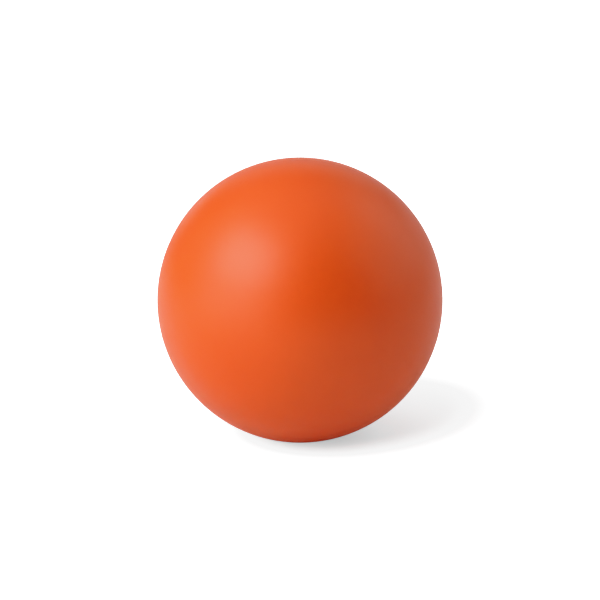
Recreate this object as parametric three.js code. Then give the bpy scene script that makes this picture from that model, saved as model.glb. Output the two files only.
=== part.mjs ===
// A table tennis ball: two thin moulded half shells, a tongue-and-rim lap joint between them, and the cement in it.
// Millimetres, +Z up, origin at the ball's centre. The moulding axis, about which both halves are round, is Y:
// the front half lies on the -Y side of the seam plane and the rear half on the +Y side.

import * as THREE from "three";

// Driving dimensions
const BALL_DIAMETER = 40;
const WALL = 0.5;
const FILM = 0.08; // cement between the two rims and along the tongue
const TONGUE_LENGTH = 1.4; // reach past the seam plane into the rear half
const TONGUE_THICKNESS = 0.3;
const BAND_LENGTH = 1.2; // the front half stays thick for this far behind the seam plane
const BAND_RUNOUT = 0.9; // then thins back to the plain wall over this length
const BEAD_REACH = 0.25; // cement squeezed out past the tongue's end
const BEAD_COVER = 0.5; // share of the tongue's end face that the bead covers

// Facets
const SEGMENTS = 48; // round the moulding axis, a multiple of 4 so that the box is exactly the diameter
const DOME_ROWS = 14; // from rim to pole
const LAP_ROWS = 3; // along the tongue

// Spheres that the surfaces lie on, all round the ball's centre
const OUTSIDE = BALL_DIAMETER / 2;
const INSIDE = OUTSIDE - WALL;
const TONGUE_OUTSIDE = INSIDE - FILM;
const TONGUE_INSIDE = TONGUE_OUTSIDE - TONGUE_THICKNESS;

// Stations along the moulding axis
const REAR_RIM = FILM / 2;
const FRONT_RIM = -FILM / 2;
const TONGUE_END = REAR_RIM + TONGUE_LENGTH;
const BEAD_END = TONGUE_END + BEAD_REACH;
const BAND_END = FRONT_RIM - BAND_LENGTH;
const RUNOUT_END = BAND_END - BAND_RUNOUT;

const ORANGE = 0xe85a1e;
const CEMENT_ORANGE = 0xd9531c;

// A profile point lies at a distance x from the moulding axis and at y along it.
function onSphere(radius, y) {
  return new THREE.Vector2(Math.sqrt(radius ** 2 - y ** 2), y);
}

// Points on a sphere's meridian from station yStart to station yEnd, evenly spaced by latitude, ends included.
function meridian(radius, yStart, yEnd, rows) {
  const start = Math.asin(yStart / radius);
  const end = Math.asin(yEnd / radius);
  const points = [];
  for (let row = 0; row <= rows; row++) {
    const latitude = THREE.MathUtils.lerp(start, end, row / rows);
    points.push(new THREE.Vector2(radius * Math.cos(latitude), radius * Math.sin(latitude)));
  }
  return points;
}

// The same, from station yStart to the pole on that side, which lies exactly on the axis.
function dome(radius, yStart, rows = DOME_ROWS) {
  const side = Math.sign(yStart);
  const points = meridian(radius, yStart, side * radius, rows);
  points[rows].set(0, side * radius);
  return points;
}

// The two faces that the cement fills the space between, from the rims to the tongue's end.
function tongueOuterFace() {
  return meridian(TONGUE_OUTSIDE, FRONT_RIM, TONGUE_END, LAP_ROWS);
}

function rearInnerLapFace() {
  return meridian(INSIDE, REAR_RIM, TONGUE_END, LAP_ROWS);
}

// The bead's foot on the tongue's end face, and its tip on the rear half's inner wall.
function beadFoot() {
  const outer = onSphere(TONGUE_OUTSIDE, TONGUE_END);
  const inner = onSphere(TONGUE_INSIDE, TONGUE_END);
  return outer.lerp(inner, BEAD_COVER);
}

function beadTip() {
  return onSphere(INSIDE, BEAD_END);
}

// Outside from pole to rim, across the rim to the tongue, round the tongue, and back up the inside to the pole.
function frontHalfProfile() {
  return [
    ...dome(OUTSIDE, FRONT_RIM).reverse(),
    ...tongueOuterFace(),
    beadFoot(),
    ...meridian(TONGUE_INSIDE, TONGUE_END, BAND_END, LAP_ROWS),
    ...dome(INSIDE, RUNOUT_END),
  ];
}

// Inside from pole to the bead, along the tongue to the rim, across it, and back up the outside to the pole.
function rearHalfProfile() {
  return [
    ...dome(INSIDE, BEAD_END).reverse(),
    ...rearInnerLapFace().reverse(),
    ...dome(OUTSIDE, REAR_RIM),
  ];
}

// Up the outside of the ball, along the rear half's inner wall to the bead, and back along the tongue.
function cementProfile() {
  const ring = [
    onSphere(OUTSIDE, FRONT_RIM),
    onSphere(OUTSIDE, REAR_RIM),
    ...rearInnerLapFace(),
    beadTip(),
    beadFoot(),
    ...tongueOuterFace().reverse(),
  ];
  return [...ring, ring[0].clone()];
}

function turned(name, profile, material) {
  const mesh = new THREE.Mesh(new THREE.LatheGeometry(profile, SEGMENTS), material);
  mesh.name = name;
  return mesh;
}

const shellPlastic = new THREE.MeshStandardMaterial({ color: ORANGE, roughness: 0.5, metalness: 0 });
const setCement = new THREE.MeshStandardMaterial({ color: CEMENT_ORANGE, roughness: 0.4, metalness: 0 });

const ball = new THREE.Group();
ball.add(
  turned("front_half_shell", frontHalfProfile(), shellPlastic),
  turned("rear_half_shell", rearHalfProfile(), shellPlastic),
  turned("seam_cement", cementProfile(), setCement),
);

export default ball;
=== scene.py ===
"""A table tennis ball on a plain white studio floor.

The ball is two thin half shells and the cement that joins them. The seam lies square to Y, the axis
that both halves were moulded about. Every size is in metres, and the frame gives the overall ones.
"""

import logging
import math
from collections.abc import Callable, Iterator
from dataclasses import dataclass, field
from enum import Enum

import bmesh
import bpy
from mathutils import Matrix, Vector


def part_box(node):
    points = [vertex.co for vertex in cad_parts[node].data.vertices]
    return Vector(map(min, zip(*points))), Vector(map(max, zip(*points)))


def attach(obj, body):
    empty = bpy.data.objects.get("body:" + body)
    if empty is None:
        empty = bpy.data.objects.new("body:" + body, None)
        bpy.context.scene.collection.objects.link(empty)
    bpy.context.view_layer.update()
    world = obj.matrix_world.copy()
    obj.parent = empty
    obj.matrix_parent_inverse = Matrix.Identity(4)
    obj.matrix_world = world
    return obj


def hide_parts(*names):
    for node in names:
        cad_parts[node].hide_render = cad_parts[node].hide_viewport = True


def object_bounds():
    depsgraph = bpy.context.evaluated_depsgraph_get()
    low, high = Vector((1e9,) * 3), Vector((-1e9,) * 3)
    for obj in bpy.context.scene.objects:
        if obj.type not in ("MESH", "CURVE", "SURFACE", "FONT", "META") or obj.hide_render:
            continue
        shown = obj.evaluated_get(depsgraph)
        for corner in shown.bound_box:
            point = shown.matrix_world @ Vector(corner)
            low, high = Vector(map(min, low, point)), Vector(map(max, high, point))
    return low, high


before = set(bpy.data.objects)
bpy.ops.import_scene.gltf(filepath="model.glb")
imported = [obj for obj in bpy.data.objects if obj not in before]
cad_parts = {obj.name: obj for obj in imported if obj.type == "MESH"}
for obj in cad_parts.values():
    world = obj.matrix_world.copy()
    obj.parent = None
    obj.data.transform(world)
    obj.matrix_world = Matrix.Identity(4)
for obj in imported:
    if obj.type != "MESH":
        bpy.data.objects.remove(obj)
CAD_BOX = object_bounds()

LOG = logging.getLogger("table_tennis_ball")
MILLIMETRE = 0.001
BODY = "root"

# A ring of points round the moulding axis is given by its distance from that axis and its place along it.
RingPlace = tuple[float, float]
Ring = list[bmesh.types.BMVert]
Socket = bpy.types.NodeSocket
Colour = tuple[float, float, float]


# --- Shapes --------------------------------------------------------------------------------------


class Side(Enum):
    """Which way from the seam a half shell lies along the moulding axis."""

    FRONT = -1
    REAR = 1


@dataclass(frozen=True)
class BallSizes:
    """The sizes that the three pieces share, all taken from the frame or set to suit the joint.

    Attributes:
        outside: Radius of the ball.
        wall: Thickness of the plain shell.
        film: Cement between the rims and along the tongue.
        tongue_end: How far the front half's tongue reaches past the seam.
        tongue_thickness: Thickness of the tongue.
        band_end: Where the thick band behind the tongue begins to thin, measured from the seam.
        runout_end: Where the inside is back to the plain wall, measured from the seam.
        bead_end: Where the squeezed-out bead of cement stops, measured from the seam.
        edge_round: Radius of the rounded outer edge of each rim.
        edge_hold: Width of the narrow band that keeps that round out of the dome's shading.
        film_sink: How far the set cement lies below the ball's surface.
        weld_sink: Depth of the faint dip that the joint draws into the surface.
        weld_reach: How far that dip spreads to each side of the seam.
        out_of_round: Largest departure of the moulded surface from a true sphere.
        oval_share: Share of that departure that is an oval. The rest is a lobed twist.
        twist_lobes: How many lobes the twist has.
    """

    outside: float
    film: float
    tongue_end: float
    bead_end: float
    wall: float = 0.5 * MILLIMETRE
    tongue_thickness: float = 0.3 * MILLIMETRE
    band_end: float = 1.24 * MILLIMETRE
    runout_end: float = 2.14 * MILLIMETRE
    edge_round: float = 0.02 * MILLIMETRE
    edge_hold: float = 0.012 * MILLIMETRE
    film_sink: float = 0.006 * MILLIMETRE
    weld_sink: float = 0.005 * MILLIMETRE
    weld_reach: float = 0.9 * MILLIMETRE
    out_of_round: float = 0.025 * MILLIMETRE
    oval_share: float = 0.6
    twist_lobes: int = 3

    @classmethod
    def from_frame(cls) -> "BallSizes":
        """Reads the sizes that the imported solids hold.

        Returns:
            The sizes, with the frame's own outside and joint.
        """
        low, high = CAD_BOX
        front_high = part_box("front_half_shell")[1]
        cement_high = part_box("seam_cement")[1]
        rear_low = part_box("rear_half_shell")[0]
        return cls(
            outside=(high.z - low.z) / 2,
            film=2 * rear_low.y,
            tongue_end=front_high.y,
            bead_end=cement_high.y,
        )

    @property
    def inside(self) -> float:
        """Radius of the plain shell's inner surface."""
        return self.outside - self.wall

    @property
    def tongue_outside(self) -> float:
        """Radius of the sphere that the tongue's outer face lies on."""
        return self.inside - self.film

    @property
    def tongue_inside(self) -> float:
        """Radius of the sphere that the tongue's inner face lies on."""
        return self.tongue_outside - self.tongue_thickness

    def surface_offset(self, direction: Vector) -> float:
        """How far the moulded outside departs from a true sphere, which it keeps to at the seam.

        Args:
            direction: Unit vector from the ball's centre.

        Returns:
            The departure in metres, outwards positive.
        """
        oval = direction.x * direction.x - direction.z * direction.z
        lobes = math.sin(self.twist_lobes * math.atan2(direction.z, direction.x))
        twist = lobes * (1 - direction.y**2) * direction.y
        shape = self.oval_share * oval + (1 - self.oval_share) * twist
        # The rims have to meet, so the departure dies away to nothing at the seam.
        moulded = self.out_of_round * shape * direction.y**2 * (2 - direction.y**2)
        from_seam = direction.y * self.outside / self.weld_reach
        return moulded - self.weld_sink * math.exp(-from_seam * from_seam)


def on_sphere(radius: float, along: float) -> RingPlace:
    """The ring where the plane at a distance along the axis cuts a sphere round the centre."""
    return math.sqrt(radius * radius - along * along), along


def arc(centre: RingPlace, radius: float, start: float, end: float, steps: int) -> list[RingPlace]:
    """Points on a round edge in the half plane through the moulding axis.

    Args:
        centre: The arc's centre.
        radius: The arc's radius.
        start: Angle of the first point from straight outwards, in degrees.
        end: Angle of the last point.
        steps: How many stretches the arc is cut into.

    Returns:
        The points, both ends included.
    """
    points = []
    for step in range(steps + 1):
        angle = math.radians(start + (end - start) * step / steps)
        points.append((centre[0] + radius * math.cos(angle), centre[1] + radius * math.sin(angle)))
    return points


def mirrored(places: list[RingPlace]) -> list[RingPlace]:
    """The same rings on the other side of the seam."""
    return [(away, -along) for away, along in places]


class RoundMesh:
    """A mesh built up from rings of points round the moulding axis, and domes that close them."""

    # Faces that meet at more than this angle are shaded apart.
    corner = math.radians(40)

    def __init__(self, segments: int) -> None:
        """Starts an empty mesh.

        Args:
            segments: Points in each ring, a multiple of 8.
        """
        self.segments = segments
        self.mesh = bmesh.new()

    def angles(self) -> Iterator[float]:
        """The angle of each point of a ring, from +X towards +Z."""
        for step in range(self.segments):
            yield 2 * math.pi * step / self.segments

    def ring(self, place: RingPlace) -> Ring:
        """Adds one ring of points.

        Args:
            place: The ring's distance from the axis and place along it.

        Returns:
            Its points in order.
        """
        away, along = place
        add = self.mesh.verts.new
        return [add((away * math.cos(a), along, away * math.sin(a))) for a in self.angles()]

    def bridge(self, first: Ring, second: Ring) -> None:
        """Joins two rings by a band of four-sided faces.

        Args:
            first: One ring.
            second: The other, with its points in the same order.
        """
        for step in range(self.segments):
            after = (step + 1) % self.segments
            self.mesh.faces.new((first[step], first[after], second[after], second[step]))

    def sweep(self, places: list[RingPlace], start: Ring) -> Ring:
        """Adds a ring at each place, each joined to the one before.

        Args:
            places: Where the new rings lie, in order.
            start: The ring that the first of them joins.

        Returns:
            The last ring.
        """
        last = start
        for place in places:
            following = self.ring(place)
            self.bridge(last, following)
            last = following
        return last

    def dome(self, side: Side, start: float, radius_at: Callable[[Vector], float]) -> Ring:
        """Adds a dome of even four-sided faces, with no pole where they would crowd.

        It is half of a cube's faces blown out onto the sphere: a square cap, and round it four
        walls that reach down to the open ring.

        Args:
            side: Which way the dome bulges.
            start: Latitude of its open ring, in radians from the seam.
            radius_at: Gives the surface's distance from the centre in a direction.

        Returns:
            The open ring, in the same order as every other ring.
        """
        half = self.segments // 8
        found: dict[tuple[int, int, int], bmesh.types.BMVert] = {}

        def point(i: int, j: int, k: int) -> bmesh.types.BMVert:
            """The point for a place on the half cube, made when it is first asked for.

            Args:
                i: Steps from the middle along X.
                j: Steps from the middle along Z.
                k: Steps up from the open ring.

            Returns:
                The point.
            """
            if (i, j, k) not in found:
                across, up, depth = (math.tan(math.pi / 4 * n / half) for n in (i, k, j))
                latitude = math.atan2(up, math.hypot(across, depth))
                longitude = math.atan2(depth, across)
                latitude = start + latitude * (1 - start / (math.pi / 2))
                direction = Vector((
                    math.cos(latitude) * math.cos(longitude),
                    side.value * math.sin(latitude),
                    math.cos(latitude) * math.sin(longitude),
                ))
                found[i, j, k] = self.mesh.verts.new(direction * radius_at(direction))
            return found[i, j, k]

        for i in range(-half, half):
            for j in range(-half, half):
                square = ((i, j), (i + 1, j), (i + 1, j + 1), (i, j + 1))
                self.mesh.faces.new([point(a, b, half) for a, b in square])
        edge = self.square_edge(half)
        for step, here in enumerate(edge):
            there = edge[(step + 1) % len(edge)]
            for k in range(half):
                corners = ((*here, k), (*there, k), (*there, k + 1), (*here, k + 1))
                self.mesh.faces.new([point(*corner) for corner in corners])
        return [point(*place, 0) for place in edge]

    @staticmethod
    def square_edge(half: int) -> list[tuple[int, int]]:
        """The places round a square's edge, from the middle of its +X side towards +Z.

        Args:
            half: Steps from the square's middle to its edge.

        Returns:
            The steps along X and Z of each place, in order.
        """
        right = [(half, j) for j in range(0, half)]
        top = [(i, half) for i in range(half, -half, -1)]
        left = [(-half, j) for j in range(half, -half, -1)]
        bottom = [(i, -half) for i in range(-half, half)]
        return right + top + left + bottom + [(half, j) for j in range(-half, 0)]

    def finished(self, name: str) -> bpy.types.Object:
        """Turns the faces outwards, shades all but the corners smooth and links the piece to the scene.

        Args:
            name: The piece's name.

        Returns:
            The new object.
        """
        bmesh.ops.recalc_face_normals(self.mesh, faces=self.mesh.faces)
        data = bpy.data.meshes.new(name)
        self.mesh.to_mesh(data)
        self.mesh.free()
        data.shade_smooth()
        data.set_sharp_from_angle(angle=self.corner)
        piece = bpy.data.objects.new(name, data)
        bpy.context.scene.collection.objects.link(piece)
        return piece


# --- Effects that the materials share ------------------------------------------------------------


class NodeTree:
    """Short ways to add and join nodes in a material's or a group's tree."""

    # Where a Mix node keeps its two colours, and the colour that it makes of them.
    mix_inputs = (6, 7)
    mix_output = 2

    def __init__(self, tree: bpy.types.NodeTree) -> None:
        """Wraps a tree."""
        self.tree = tree

    def add(self, kind: str, **settings: object) -> bpy.types.Node:
        """Adds a node.

        Args:
            kind: The node's type name.
            settings: Its own properties.

        Returns:
            The node.
        """
        node = self.tree.nodes.new(kind)
        for name, value in settings.items():
            setattr(node, name, value)
        return node

    def join(self, source: Socket, target: Socket) -> None:
        """Links an output to an input."""
        self.tree.links.new(source, target)

    def math(self, operation: str, first: object, second: object = 0.0) -> Socket:
        """A Math node on two sockets or numbers.

        Args:
            operation: The Math node's operation.
            first: Its first value.
            second: Its second value, if the operation takes two.

        Returns:
            The result's socket.
        """
        node = self.add("ShaderNodeMath", operation=operation)
        for value, socket in zip((first, second), node.inputs):
            self.feed(value, socket)
        return node.outputs[0]

    def feed(self, value: object, socket: Socket) -> None:
        """Links a socket to an input, or sets the input if the value is a plain one.

        Args:
            value: A socket or a plain value.
            socket: The input.
        """
        if isinstance(value, Socket):
            self.join(value, socket)
        else:
            socket.default_value = value

    def noise(self, vector: Socket, scale: object, detail: float) -> Socket:
        """Noise from 0 to 1 at a place.

        Args:
            vector: The place.
            scale: Spots in a metre.
            detail: How many finer layers it has.

        Returns:
            The noise's socket.
        """
        node = self.add("ShaderNodeTexNoise")
        self.join(vector, node.inputs["Vector"])
        self.feed(scale, node.inputs["Scale"])
        node.inputs["Detail"].default_value = detail
        return node.outputs["Fac"]

    def ramp(self, value: Socket, start: float, end: float) -> Socket:
        """A smooth step from 0 to 1.

        Args:
            value: What is stepped.
            start: The value up to which the step is 0.
            end: The value from which it is 1.

        Returns:
            The step's socket.
        """
        node = self.add("ShaderNodeMapRange", interpolation_type="SMOOTHSTEP")
        self.join(value, node.inputs["Value"])
        node.inputs["From Min"].default_value = start
        node.inputs["From Max"].default_value = end
        return node.outputs["Result"]

    def mixed(self, share: object, first: object, second: object, blend: str = "MIX") -> Socket:
        """Mixes two colours.

        Args:
            share: How much of the second goes in, from 0 to 1, or its socket.
            first: The first colour or its socket.
            second: The second colour or its socket.
            blend: The Mix node's way of mixing.

        Returns:
            The mixed colour's socket.
        """
        node = self.add("ShaderNodeMix", data_type="RGBA", blend_type=blend)
        self.feed(share, node.inputs["Factor"])
        for colour, place in zip((first, second), self.mix_inputs):
            self.feed(colour, node.inputs[place])
        return node.outputs[self.mix_output]


class EffectGroup:
    """A shader node group with named inputs and outputs, built once and placed in any material."""

    name = ""
    inputs: dict[str, tuple[str, object]] = {}
    outputs: dict[str, str] = {}

    def __init__(self) -> None:
        """Builds the group."""
        self.group = bpy.data.node_groups.new(self.name, "ShaderNodeTree")
        interface = self.group.interface
        for label, (kind, value) in self.inputs.items():
            socket = interface.new_socket(name=label, in_out="INPUT", socket_type=kind)
            socket.default_value = value
        for label, kind in self.outputs.items():
            interface.new_socket(name=label, in_out="OUTPUT", socket_type=kind)
        self.nodes = NodeTree(self.group)
        self.given = self.nodes.add("NodeGroupInput").outputs
        self.result = self.nodes.add("NodeGroupOutput").inputs
        self.build()

    def build(self) -> None:
        """Fills the group."""
        raise NotImplementedError

    def object_place(self) -> Socket:
        """Where a point lies in the piece's own coordinates, which are the frame's."""
        return self.nodes.add("ShaderNodeTexCoord").outputs["Object"]

    def place(self, material: NodeTree, **values: object) -> bpy.types.Node:
        """Puts the group into a material.

        Args:
            material: The material's tree.
            values: A value or socket for each input, with underscores for spaces.

        Returns:
            The group node.
        """
        node = material.add("ShaderNodeGroup", node_tree=self.group)
        for name, value in values.items():
            material.feed(value, node.inputs[name.replace("_", " ")])
        return node


class SatinGrain(EffectGroup):
    """The fine matt grain that tumbling leaves on moulded plastic."""

    name = "satin_grain"
    inputs = {
        "Grains Per Metre": ("NodeSocketFloat", 5200.0),
        "Ripples Per Metre": ("NodeSocketFloat", 420.0),
        "Ripple Share": ("NodeSocketFloat", 0.35),
    }
    outputs = {"Height": "NodeSocketFloat", "Matt Spots": "NodeSocketFloat"}
    grain_detail = 3.0
    ripple_detail = 1.5
    # How high the grain stands where a matt spot begins, and where it is fully matt.
    spot_limits = (0.35, 0.7)

    def build(self) -> None:
        """Fine grain with a slow orange-peel ripple under it."""
        place = self.object_place()
        grain = self.nodes.noise(place, self.given["Grains Per Metre"], self.grain_detail)
        ripple = self.nodes.noise(place, self.given["Ripples Per Metre"], self.ripple_detail)
        lifted = self.nodes.math("MULTIPLY", ripple, self.given["Ripple Share"])
        self.nodes.join(self.nodes.math("ADD", grain, lifted), self.result["Height"])
        self.nodes.join(self.nodes.ramp(grain, *self.spot_limits), self.result["Matt Spots"])


class PigmentDrift(EffectGroup):
    """The slow drift between two shades that pigment leaves in a thin moulded wall."""

    name = "pigment_drift"
    inputs = {
        "Main Colour": ("NodeSocketColor", (0.8, 0.8, 0.8, 1.0)),
        "Drift Colour": ("NodeSocketColor", (0.7, 0.7, 0.7, 1.0)),
        "Clouds Per Metre": ("NodeSocketFloat", 60.0),
        "Specks Per Metre": ("NodeSocketFloat", 1400.0),
        "Speck Share": ("NodeSocketFloat", 0.25),
    }
    outputs = {"Colour": "NodeSocketColor"}
    cloud_detail = 2.0
    speck_detail = 4.0
    # The noise where a cloud or a speck begins, and where it is full.
    cloud_limits = (0.3, 0.7)
    speck_limits = (0.45, 0.8)
    # Share of the drift colour where the clouds are full and there are no specks.
    drift_share = 0.8

    def build(self) -> None:
        """Clouds with a little fine speckle, used to mix the two shades."""
        place = self.object_place()
        clouded = self.nodes.noise(place, self.given["Clouds Per Metre"], self.cloud_detail)
        clouds = self.nodes.ramp(clouded, *self.cloud_limits)
        specked = self.nodes.noise(place, self.given["Specks Per Metre"], self.speck_detail)
        specks = self.nodes.ramp(specked, *self.speck_limits)
        sprinkled = self.nodes.math("MULTIPLY", specks, self.given["Speck Share"])
        share = self.nodes.math("MULTIPLY", self.nodes.math("ADD", clouds, sprinkled), self.drift_share)
        colour = self.nodes.mixed(share, self.given["Main Colour"], self.given["Drift Colour"])
        self.nodes.join(colour, self.result["Colour"])


class RubStreaks(EffectGroup):
    """Hair-fine streaks where tables and bats have rubbed the surface, running three ways."""

    name = "rub_streaks"
    inputs = {
        "Streaks Per Metre": ("NodeSocketFloat", 2600.0),
        "Coverage": ("NodeSocketFloat", 0.5),
    }
    outputs = {"Streaks": "NodeSocketFloat"}
    # A streak's width as a share of its length, and how each of the three ways is turned.
    stretch = 0.035
    turns = ((0.4, 0.2, 0.9), (1.5, 0.7, 0.3), (0.9, 1.9, 2.2))
    patches_per_metre = 150.0
    patch_detail = 2.0
    streak_detail = 1.0
    # The noise where a patch or a streak begins, and where it is full.
    patch_limits = (0.45, 0.65)
    streak_limits = (0.66, 0.76)

    def build(self) -> None:
        """Noise drawn out along three lines, kept to the patches that were rubbed."""
        place = self.object_place()
        patched = self.nodes.noise(place, self.patches_per_metre, self.patch_detail)
        patches = self.nodes.ramp(patched, *self.patch_limits)
        total = self.one_way(place, self.turns[0])
        for turn in self.turns[1:]:
            total = self.nodes.math("MAXIMUM", total, self.one_way(place, turn))
        share = self.nodes.math("MULTIPLY", self.given["Coverage"], patches)
        self.nodes.join(self.nodes.math("MULTIPLY", total, share), self.result["Streaks"])

    def one_way(self, place: Socket, turn: tuple[float, float, float]) -> Socket:
        """The streaks that run one way.

        Args:
            place: The place on the surface.
            turn: How the streaks are turned about X, Y and Z, in radians.

        Returns:
            Their mask.
        """
        laid = self.nodes.add("ShaderNodeMapping", vector_type="POINT")
        self.nodes.join(place, laid.inputs["Vector"])
        laid.inputs["Rotation"].default_value = turn
        drawn = self.nodes.add("ShaderNodeVectorMath", operation="MULTIPLY")
        self.nodes.join(laid.outputs["Vector"], drawn.inputs[0])
        drawn.inputs[1].default_value = (self.stretch, 1, 1)
        across = self.given["Streaks Per Metre"]
        fine = self.nodes.noise(drawn.outputs["Vector"], across, self.streak_detail)
        return self.nodes.ramp(fine, *self.streak_limits)


class SeamNearness(EffectGroup):
    """How near a point lies to the seam plane: 1 on it, 0 past its reach."""

    name = "seam_nearness"
    inputs = {
        "Reach": ("NodeSocketFloat", 1.5 * MILLIMETRE),
        "Blur": ("NodeSocketFloat", 0.4 * MILLIMETRE),
    }
    outputs = {"Near": "NodeSocketFloat"}

    def build(self) -> None:
        """The distance along the moulding axis, faded out over the blur past the reach."""
        parts = self.nodes.add("ShaderNodeSeparateXYZ")
        self.nodes.join(self.object_place(), parts.inputs[0])
        away = self.nodes.math("ABSOLUTE", parts.outputs["Y"])
        past = self.nodes.math("SUBTRACT", away, self.given["Reach"])
        faded = self.nodes.add("ShaderNodeMath", operation="DIVIDE", use_clamp=True)
        self.nodes.join(past, faded.inputs[0])
        self.nodes.join(self.given["Blur"], faded.inputs[1])
        self.nodes.join(self.nodes.math("SUBTRACT", 1.0, faded.outputs[0]), self.result["Near"])


@dataclass
class SharedEffects:
    """The node groups, each built once."""

    grain: SatinGrain = field(default_factory=SatinGrain)
    pigment: PigmentDrift = field(default_factory=PigmentDrift)
    streaks: RubStreaks = field(default_factory=RubStreaks)
    seam: SeamNearness = field(default_factory=SeamNearness)


# --- Finishes ------------------------------------------------------------------------------------


@dataclass(frozen=True)
class PlasticFinish:
    """A pigmented plastic with a tumbled satin surface.

    Attributes:
        name: The material's name.
        slot: A slot's name; nothing in this script reads it.
        colour: Main shade, in linear red, green and blue.
        drift: The shade that the pigment drifts towards.
        band: The deeper colour where the wall is doubled at the seam, partly the doubled wall's pigment
            and partly painted shade for the less light that comes through it.
        roughness: Roughness of the clean surface.
        spot_roughness: What the grain's matt spots add to it.
        streak_roughness: What a rubbed streak adds to it.
        grain_depth: Depth of the grain.
        streak_cut: Depth of a rubbed streak, as a share of the grain's.
        ior: Index of refraction.
        glow: Share of the light that enters the wall and comes out nearby.
        glow_depth: How far it travels inside.
        glow_reach: How far its red, green and blue go, as shares of that.
    """

    name: str
    slot: str
    colour: Colour
    drift: Colour
    band: Colour
    roughness: float
    spot_roughness: float = 0.03
    streak_roughness: float = 0.06
    grain_depth: float = 0.0012 * MILLIMETRE
    streak_cut: float = 0.35
    ior: float = 1.48
    glow: float = 0.12
    glow_depth: float = 0.4 * MILLIMETRE
    glow_reach: Colour = (1.0, 0.35, 0.15)

    def material(self, effects: SharedEffects, sizes: BallSizes) -> bpy.types.Material:
        """Builds the material.

        Args:
            effects: The shared node groups.
            sizes: The ball's sizes, for the doubled wall at the seam.

        Returns:
            The material.
        """
        made = bpy.data.materials.new(self.name)
        made.use_nodes = True
        nodes = NodeTree(made.node_tree)
        shader = made.node_tree.nodes["Principled BSDF"]
        grain = effects.grain.place(nodes)
        streaks = effects.streaks.place(nodes)
        seam = effects.seam.place(nodes, Reach=sizes.tongue_end, Blur=sizes.runout_end - sizes.band_end)
        self.paint(nodes, shader, effects, seam)
        self.roughen(nodes, shader, grain, streaks)
        self.texture(nodes, shader, grain, streaks)
        shader.inputs["IOR"].default_value = self.ior
        shader.inputs["Subsurface Weight"].default_value = self.glow
        shader.inputs["Subsurface Radius"].default_value = self.glow_reach
        shader.inputs["Subsurface Scale"].default_value = self.glow_depth
        return made

    def paint(
        self, nodes: NodeTree, shader: bpy.types.Node, effects: SharedEffects, seam: bpy.types.Node
    ) -> None:
        """Mixes the pigment's drift, and deepens it over the doubled wall: partly its pigment, partly
        painted shade for the less light that comes through the thicker wall.

        Args:
            nodes: The material's tree.
            shader: Its shader.
            effects: The shared node groups.
            seam: The seam's nearness.
        """
        pigment = effects.pigment.place(nodes, Main_Colour=(*self.colour, 1), Drift_Colour=(*self.drift, 1))
        # Over the doubled wall the colour deepens: partly its pigment, partly painted shade for the less
        # light through it.
        paint = nodes.mixed(seam.outputs["Near"], pigment.outputs["Colour"], (*self.band, 1))
        nodes.join(paint, shader.inputs["Base Color"])

    def roughen(
        self, nodes: NodeTree, shader: bpy.types.Node, grain: bpy.types.Node, streaks: bpy.types.Node
    ) -> None:
        """Makes the grain's spots and the rubbed streaks more matt.

        Args:
            nodes: The material's tree.
            shader: Its shader.
            grain: The satin grain.
            streaks: The rub streaks.
        """
        spots = nodes.math("MULTIPLY", grain.outputs["Matt Spots"], self.spot_roughness)
        rubbed = nodes.math("MULTIPLY", streaks.outputs["Streaks"], self.streak_roughness)
        rough = nodes.math("ADD", spots, self.roughness)
        nodes.join(nodes.math("ADD", rough, rubbed), shader.inputs["Roughness"])

    def texture(
        self, nodes: NodeTree, shader: bpy.types.Node, grain: bpy.types.Node, streaks: bpy.types.Node
    ) -> None:
        """Raises the grain and cuts the streaks into it.

        Args:
            nodes: The material's tree.
            shader: Its shader.
            grain: The satin grain.
            streaks: The rub streaks.
        """
        cut = nodes.math("MULTIPLY", streaks.outputs["Streaks"], self.streak_cut)
        height = nodes.math("SUBTRACT", grain.outputs["Height"], cut)
        bump = nodes.add("ShaderNodeBump")
        bump.inputs["Distance"].default_value = self.grain_depth
        nodes.join(height, bump.inputs["Height"])
        nodes.join(bump.outputs["Normal"], shader.inputs["Normal"])


SHELL_PLASTIC = PlasticFinish(
    name="satin_orange_plastic",
    slot="shell_plastic",
    colour=(0.662, 0.0762, 0.001),
    drift=(0.638, 0.0725, 0.001),
    band=(0.64, 0.0725, 0.001),
    roughness=0.42,
)

SET_CEMENT = PlasticFinish(
    name="set_cement",
    slot="seam_cement",
    colour=(0.56, 0.058, 0.003),
    drift=(0.52, 0.053, 0.0025),
    band=(0.54, 0.055, 0.003),
    roughness=0.44,
    spot_roughness=0.05,
)


# --- The ball ------------------------------------------------------------------------------------


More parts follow.
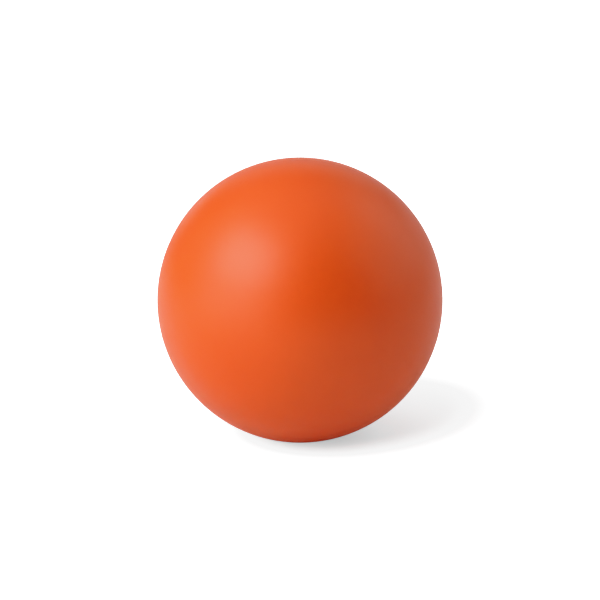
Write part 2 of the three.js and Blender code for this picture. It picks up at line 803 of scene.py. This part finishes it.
@dataclass
class Ball:
    """The whole ball: two half shells and the cement in their joint.

    Attributes:
        sizes: The sizes that the pieces share.
        segments: Points round each ring.
        lap_steps: Stretches along the tongue.
        edge_steps: Stretches in each rounded edge.
    """

    sizes: BallSizes
    segments: int = 256
    lap_steps: int = 6
    edge_steps: int = 5

    def lap_places(self, radius: float, start: float, end: float) -> list[RingPlace]:
        """Evenly spaced rings on a sphere, from one place along the axis to another."""
        spread = [start + (end - start) * step / self.lap_steps for step in range(self.lap_steps + 1)]
        return [on_sphere(radius, along) for along in spread]

    def rounded_rim(self) -> list[RingPlace]:
        """The rounded outer edge of a rim, for the half on the + side of the seam.

        Returns:
            Its rings, from where the round meets the outside to where it meets the rim's flat face.
        """
        size = self.sizes
        face = size.film / 2
        centre = on_sphere(size.outside - size.weld_sink - size.edge_round, face + size.edge_round)
        return arc(centre, size.edge_round, start=0, end=-90, steps=self.edge_steps)

    def outer_dome(self, build: RoundMesh, side: Side) -> Ring:
        """The outside of a half shell, down to just short of where its edge begins to round.

        Args:
            build: The mesh that it is added to.
            side: The half shell's side.

        Returns:
            Its open ring.
        """
        size = self.sizes
        start = math.asin((size.film / 2 + size.edge_round + size.edge_hold) / size.outside)
        return build.dome(side, start, lambda way: size.outside + size.surface_offset(way))

    def inner_dome(self, build: RoundMesh, side: Side, along: float) -> Ring:
        """The inside of a half shell, from the pole to a place along the axis."""
        start = math.asin(along / self.sizes.inside)
        return build.dome(side, start, lambda way: self.sizes.inside)

    def front_half_shell(self) -> bpy.types.Object:
        """The half with the tongue that reaches inside the other one.

        Returns:
            The piece.
        """
        size = self.sizes
        build = RoundMesh(self.segments)
        outer = self.outer_dome(build, Side.FRONT)
        tongue_face = self.lap_places(size.tongue_outside, -size.film / 2, size.tongue_end)
        tongue_back = self.lap_places(size.tongue_inside, size.tongue_end, -size.band_end)
        last = build.sweep(mirrored(self.rounded_rim()) + tongue_face + tongue_back, outer)
        build.bridge(last, self.inner_dome(build, Side.FRONT, size.runout_end))
        return build.finished("front_half_shell_fine")

    def rear_half_shell(self) -> bpy.types.Object:
        """The half whose rim slips over the tongue.

        Returns:
            The piece.
        """
        size = self.sizes
        build = RoundMesh(self.segments)
        outer = self.outer_dome(build, Side.REAR)
        socket = self.lap_places(size.inside, size.film / 2, size.bead_end)
        last = build.sweep(self.rounded_rim() + socket[:-1], outer)
        build.bridge(last, self.inner_dome(build, Side.REAR, size.bead_end))
        return build.finished("rear_half_shell_fine")

    def seam_cement(self) -> bpy.types.Object:
        """The cement: a hollowed line at the surface, a sleeve along the tongue and a bead inside.

        Returns:
            The piece.
        """
        size = self.sizes
        build = RoundMesh(self.segments)
        half = size.film / 2
        skin = size.outside - size.weld_sink
        shallow, deep = skin - size.film_sink / 2, skin - size.film_sink
        edge = [(shallow, half), (deep, 0.0), (shallow, -half)]
        tongue = self.lap_places(size.tongue_outside, -half, size.tongue_end)
        end_face = on_sphere(size.tongue_inside, size.tongue_end)
        foot = ((tongue[-1][0] + end_face[0]) / 2, size.tongue_end)
        tip = on_sphere(size.inside, size.bead_end)
        bulge = size.film / 4
        bead = [((foot[0] + tip[0]) / 2, (foot[1] + tip[1]) / 2 + bulge), tip]
        socket = self.lap_places(size.inside, size.tongue_end, half)
        first = build.ring(edge[0])
        last = build.sweep(edge[1:] + tongue + [foot] + bead + socket, first)
        build.bridge(last, first)
        return build.finished("seam_cement_fine")

    def dress(
        self, piece: bpy.types.Object, node: str, coat: bpy.types.Material
    ) -> None:
        """Gives a piece its material and sets it in the place of its solid.

        Args:
            piece: The fine piece.
            node: The solid that it stands for.
            coat: The finish's material.
        """
        piece.data.materials.append(coat)
        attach(piece, BODY)
        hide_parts(node)
        LOG.info("%s stands for %s with %d faces", piece.name, node, len(piece.data.polygons))

    def build(self) -> None:
        """Builds the three pieces and dresses them."""
        effects = SharedEffects()
        plastic = SHELL_PLASTIC.material(effects, self.sizes)
        cement = SET_CEMENT.material(effects, self.sizes)
        self.dress(self.front_half_shell(), "front_half_shell", plastic)
        self.dress(self.rear_half_shell(), "rear_half_shell", plastic)
        self.dress(self.seam_cement(), "seam_cement", cement)


# --- The studio ----------------------------------------------------------------------------------


@dataclass(frozen=True)
class Direction:
    """A way out from the ball, as seen by someone at the front.

    Attributes:
        azimuth: Degrees round from the front, towards the right.
        elevation: Degrees above the horizon.
    """

    azimuth: float
    elevation: float

    def vector(self) -> Vector:
        """The same way as a vector.

        Returns:
            The unit vector.
        """
        azimuth, elevation = math.radians(self.azimuth), math.radians(self.elevation)
        level = math.cos(elevation)
        return Vector((math.sin(azimuth) * level, -math.cos(azimuth) * level, math.sin(elevation)))


@dataclass(frozen=True)
class Softbox:
    """A flat diffused lamp that faces the ball.

    Attributes:
        name: The lamp's name.
        towards: Where it stands, seen from the ball.
        distance: From the ball to the lamp.
        width: The lamp's width.
        height: The lamp's height.
        radiance: Brightness of its face.
    """

    name: str
    towards: Direction
    distance: float
    width: float
    height: float
    radiance: float

    def build(self, centre: Vector) -> None:
        """Adds the lamp.

        Args:
            centre: What it faces.
        """
        data = bpy.data.lights.new(self.name, "AREA")
        data.shape = "RECTANGLE"
        data.size, data.size_y = self.width, self.height
        data.energy = self.radiance * self.width * self.height * math.pi
        lamp = bpy.data.objects.new(self.name, data)
        way = self.towards.vector()
        lamp.location = centre + way * self.distance
        lamp.rotation_euler = (-way).to_track_quat("-Z", "Y").to_euler()
        lamp.visible_camera = False
        bpy.context.scene.collection.objects.link(lamp)


@dataclass(frozen=True)
class PaintedShadowPatch:
    """An oval patch of the floor, drawn out the way the ball's shadow falls. Less light is painted on
    the floor inside it, so that its edge paints the outline of the shadow.

    Attributes:
        middle: The oval's middle, across and away from the front, from right under the ball.
        turn: Degrees that its long axis is turned from straight across to straight away.
        half_length: Half of its length.
        half_width: Half of its width.
        inner: Share of the oval that lies wholly in the patch.
        outer: Where the patch has faded out, as a multiple of the oval.
    """

    middle: tuple[float, float] = (9 * MILLIMETRE, 13 * MILLIMETRE)
    turn: float = 62.0
    half_length: float = 22 * MILLIMETRE
    half_width: float = 17.4 * MILLIMETRE
    inner: float = 0.64
    outer: float = 1.53

    def outside(self, nodes: NodeTree, place: Socket) -> Socket:
        """How far a place lies out of the patch.

        Args:
            nodes: The floor material's tree.
            place: The place on the floor.

        Returns:
            A mask's socket, 0 in the patch and 1 well clear of it.
        """
        laid = nodes.add("ShaderNodeMapping", vector_type="TEXTURE")
        nodes.join(place, laid.inputs["Vector"])
        laid.inputs["Location"].default_value = (*self.middle, 0)
        laid.inputs["Rotation"].default_value = (0, 0, math.radians(self.turn))
        laid.inputs["Scale"].default_value = (self.half_length, self.half_width, 1)
        away = nodes.add("ShaderNodeVectorMath", operation="LENGTH")
        nodes.join(laid.outputs["Vector"], away.inputs[0])
        return nodes.ramp(away.outputs["Value"], self.inner, self.outer)


@dataclass
class Studio:
    """A white paper floor, the room round it and its lamps.

    Attributes:
        centre: The ball's centre.
        floor_height: Height of the floor that the ball stands on.
        lamps: The softboxes.
        floor_radius: How far the floor reaches.
        floor_segments: Straight stretches in the floor's edge.
        room_light: Brightness of the room behind the lamps.
        backdrop_light: Brightness of what the camera sees past the floor.
        paper_shade: Share of the light that the floor's paper gives back.
        paper_roughness: The paper's roughness.
        tooth_depth: Depth of the paper's tooth.
        tooth_per_metre: How many of its bumps lie in a metre.
        tooth_detail: How many finer layers they have.
        shadow_painted_light: Painted light that the camera sees on top of the paper's own in the ball's
            shadow.
        clear_painted_light: Painted light that it sees on top of the paper's own everywhere else.
        patch: The oval patch of paper that the shadow falls on, where less light is painted, which
            paints the shadow's outline.
        painted_glow_cancel: What the paper right under the ball is multiplied by, as the camera sees it:
            a painted cool tint that takes the ball's orange bounce light out of the shadow.
        glow_cancel_reach: Distance from there where half of that painted tint is left.
        tones: Points of the tone curve, as light in the scene and light shown.
    """

    centre: Vector
    floor_height: float
    lamps: tuple[Softbox, ...]
    floor_radius: float = 1.5
    floor_segments: int = 96
    room_light: float = 0.15
    backdrop_light: float = 1.5
    paper_shade: float = 0.8
    paper_roughness: float = 0.9
    tooth_depth: float = 0.01 * MILLIMETRE
    tooth_per_metre: float = 900.0
    tooth_detail: float = 2.0
    # Painted light on the paper for the camera, with less of it in the patch round the shadow.
    shadow_painted_light: float = 0.41
    clear_painted_light: float = 1.26
    patch: PaintedShadowPatch = PaintedShadowPatch()
    # A painted cool tint, for the camera, that takes the ball's orange bounce light out of the shadow.
    painted_glow_cancel: Colour = (0.38, 0.91, 1.0)
    glow_cancel_reach: float = 13 * MILLIMETRE
    tones: tuple[tuple[float, float], ...] = (
        (0.02, 0.011), (0.05, 0.036), (0.1, 0.095), (0.25, 0.275), (0.55, 0.595), (0.85, 0.89),
        (1.08, 0.935), (1.2, 1.0),
    )

    def floor(self) -> None:
        """The round white floor."""
        build = bmesh.new()
        bmesh.ops.create_circle(
            build, cap_ends=True, segments=self.floor_segments, radius=self.floor_radius
        )
        data = bpy.data.meshes.new("studio_floor")
        build.to_mesh(data)
        build.free()
        made = bpy.data.objects.new("studio_floor", data)
        made.location = (self.centre.x, self.centre.y, self.floor_height)
        data.materials.append(self.floor_paint())
        bpy.context.scene.collection.objects.link(made)

    def floor_paint(self) -> bpy.types.Material:
        """Matt white paper with a faint tooth, with light painted on it to plain white where the camera
        sees it.

        The ball is lit by the paper's own shade. For the camera, light is painted on the paper as
        emission, which washes it out to white like an overexposed background. Less of it is painted
        in an oval round the ball's shadow, so that the oval paints the shadow's outline. Close to the
        ball the camera sees the paper with a painted cool tint, which takes the ball's orange bounce
        light out of the shadow.

        Returns:
            The material.
        """
        made = bpy.data.materials.new("white_paper")
        made.use_nodes = True
        nodes = NodeTree(made.node_tree)
        shader = made.node_tree.nodes["Principled BSDF"]
        place = nodes.add("ShaderNodeTexCoord").outputs["Object"]
        bump = nodes.add("ShaderNodeBump")
        bump.inputs["Distance"].default_value = self.tooth_depth
        nodes.join(nodes.noise(place, self.tooth_per_metre, self.tooth_detail), bump.inputs["Height"])
        nodes.join(bump.outputs["Normal"], shader.inputs["Normal"])
        seen = nodes.add("ShaderNodeLightPath").outputs["Is Camera Ray"]
        nodes.join(self.glow_cancelled(nodes, place, seen), shader.inputs["Base Color"])
        # Painted light that only the camera sees: the shadow's share inside the oval, the clear share
        # outside it.
        more = nodes.math("MULTIPLY", self.patch.outside(nodes, place), self.clear_painted_light - self.shadow_painted_light)
        painted_emission = nodes.math("ADD", more, self.shadow_painted_light)
        shader.inputs["Emission Color"].default_value = (1, 1, 1, 1)
        nodes.join(nodes.math("MULTIPLY", painted_emission, seen), shader.inputs["Emission Strength"])
        shader.inputs["Roughness"].default_value = self.paper_roughness
        return made

    def glow_cancelled(self, nodes: NodeTree, place: Socket, seen: Socket) -> Socket:
        """The paper's shade, which the camera sees with a painted cool tint where the ball's orange
        bounce light falls on it.

        Args:
            nodes: The floor material's tree.
            place: The place on the floor, from right under the ball.
            seen: 1 for the camera's view of the floor.

        Returns:
            The colour's socket.
        """
        away = nodes.add("ShaderNodeVectorMath", operation="LENGTH")
        nodes.join(place, away.inputs[0])
        reach = nodes.math("DIVIDE", away.outputs["Value"], self.glow_cancel_reach)
        # Share of the painted tint: it fades with distance, and only the camera sees it.
        glow = nodes.math("DIVIDE", seen, nodes.math("ADD", nodes.math("MULTIPLY", reach, reach), 1.0))
        plain = (self.paper_shade, self.paper_shade, self.paper_shade, 1)
        return nodes.mixed(glow, plain, (*self.painted_glow_cancel, 1), blend="MULTIPLY")

    def room(self) -> None:
        """The room's own light: dim on the ball, and white where the camera sees past the floor."""
        world = bpy.data.worlds.new("studio_room")
        world.use_nodes = True
        nodes = NodeTree(world.node_tree)
        world.node_tree.nodes.clear()
        path = nodes.add("ShaderNodeLightPath")
        lit, seen = nodes.add("ShaderNodeBackground"), nodes.add("ShaderNodeBackground")
        lit.inputs["Strength"].default_value = self.room_light
        seen.inputs["Strength"].default_value = self.backdrop_light
        mix = nodes.add("ShaderNodeMixShader")
        output = nodes.add("ShaderNodeOutputWorld")
        nodes.join(path.outputs["Is Camera Ray"], mix.inputs[0])
        nodes.join(lit.outputs[0], mix.inputs[1])
        nodes.join(seen.outputs[0], mix.inputs[2])
        nodes.join(mix.outputs[0], output.inputs["Surface"])
        bpy.context.scene.world = world

    def build(self) -> None:
        """Lays the floor, and sets the room and the lamps."""
        self.floor()
        self.room()
        for lamp in self.lamps:
            lamp.build(self.centre)
        view = bpy.context.scene.view_settings
        view.view_transform = "Standard"
        view.look = "None"
        self.expose(view)
        LOG.info("studio has a floor and %d lamps", len(self.lamps))

    def expose(self, view: bpy.types.ColorManagedViewSettings) -> None:
        """Gives the scene a tone curve with a short toe, and a soft shoulder below white.

        Args:
            view: The scene's view settings.
        """
        view.use_curve_mapping = True
        mapping = view.curve_mapping
        mapping.use_clip = False
        mapping.extend = "EXTRAPOLATED"
        # The fourth curve acts on red, green and blue alike.
        all_colours = mapping.curves[3]
        all_colours.points[0].location = (0, 0)
        all_colours.points[1].location = self.tones[-1]
        for scene_light, shown in self.tones[:-1]:
            all_colours.points.new(scene_light, shown)
        for point in all_colours.points:
            point.handle_type = "AUTO_CLAMPED"
        mapping.update()


@dataclass
class BallCamera:
    """A long lens that looks down at the ball from the front.

    Attributes:
        towards: Where it stands, seen from the ball.
        distance: From the ball's centre to the lens.
        ball_share: Width of the ball's outline as a share of the view's.
    """

    towards: Direction = Direction(0, 15)
    distance: float = 0.42
    ball_share: float = 0.476

    def build(self, centre: Vector, radius: float) -> None:
        """Adds the camera and makes it the scene's.

        Args:
            centre: The ball's centre.
            radius: The ball's radius.
        """
        data = bpy.data.cameras.new("ball_camera")
        outline = radius / math.sqrt(self.distance**2 - radius**2)
        data.lens = data.sensor_width / 2 / (outline / self.ball_share)
        camera = bpy.data.objects.new("ball_camera", data)
        way = self.towards.vector()
        camera.location = centre + way * self.distance
        camera.rotation_euler = (-way).to_track_quat("-Z", "Y").to_euler()
        bpy.context.scene.collection.objects.link(camera)
        bpy.context.scene.camera = camera


LAMPS = (
    Softbox("key_softbox", Direction(-56, 38), distance=0.6, width=0.5, height=0.36, radiance=4.25),
    Softbox("key_wide", Direction(-56, 36), distance=0.6, width=0.95, height=0.62, radiance=0.72),
    Softbox("left_strip", Direction(-58, 4), distance=0.7, width=0.85, height=0.13, radiance=2.75),
    Softbox("left_card", Direction(-112, 27), distance=0.7, width=0.52, height=0.55, radiance=0.42),
    Softbox("right_card", Direction(92, 34), distance=0.7, width=0.75, height=0.66, radiance=0.88),
    Softbox("right_strip", Direction(92, 8), distance=0.7, width=0.5, height=0.18, radiance=0.41),
    Softbox("right_wing", Direction(130, 30), distance=0.7, width=0.34, height=0.8, radiance=0.64),
    Softbox("back_card", Direction(176, 6), distance=1.0, width=1.1, height=0.2, radiance=0.76),
    Softbox("back_wing", Direction(-155, 6), distance=1.0, width=0.3, height=0.2, radiance=0.6),
    Softbox("back_high", Direction(180, 28), distance=0.9, width=0.8, height=0.3, radiance=0.7),
    Softbox("overhead_card", Direction(-100, 80), distance=0.9, width=1.1, height=1.1, radiance=0.69),
)


def main() -> None:
    """Builds the camera, the ball and the studio."""
    logging.basicConfig(level=logging.INFO, format="%(name)s: %(message)s")
    sizes = BallSizes.from_frame()
    centre = (CAD_BOX[0] + CAD_BOX[1]) / 2
    BallCamera().build(centre, sizes.outside)
    Ball(sizes).build()
    Studio(centre, CAD_BOX[0].z, LAMPS).build()


if __name__ == "__main__":
    main()
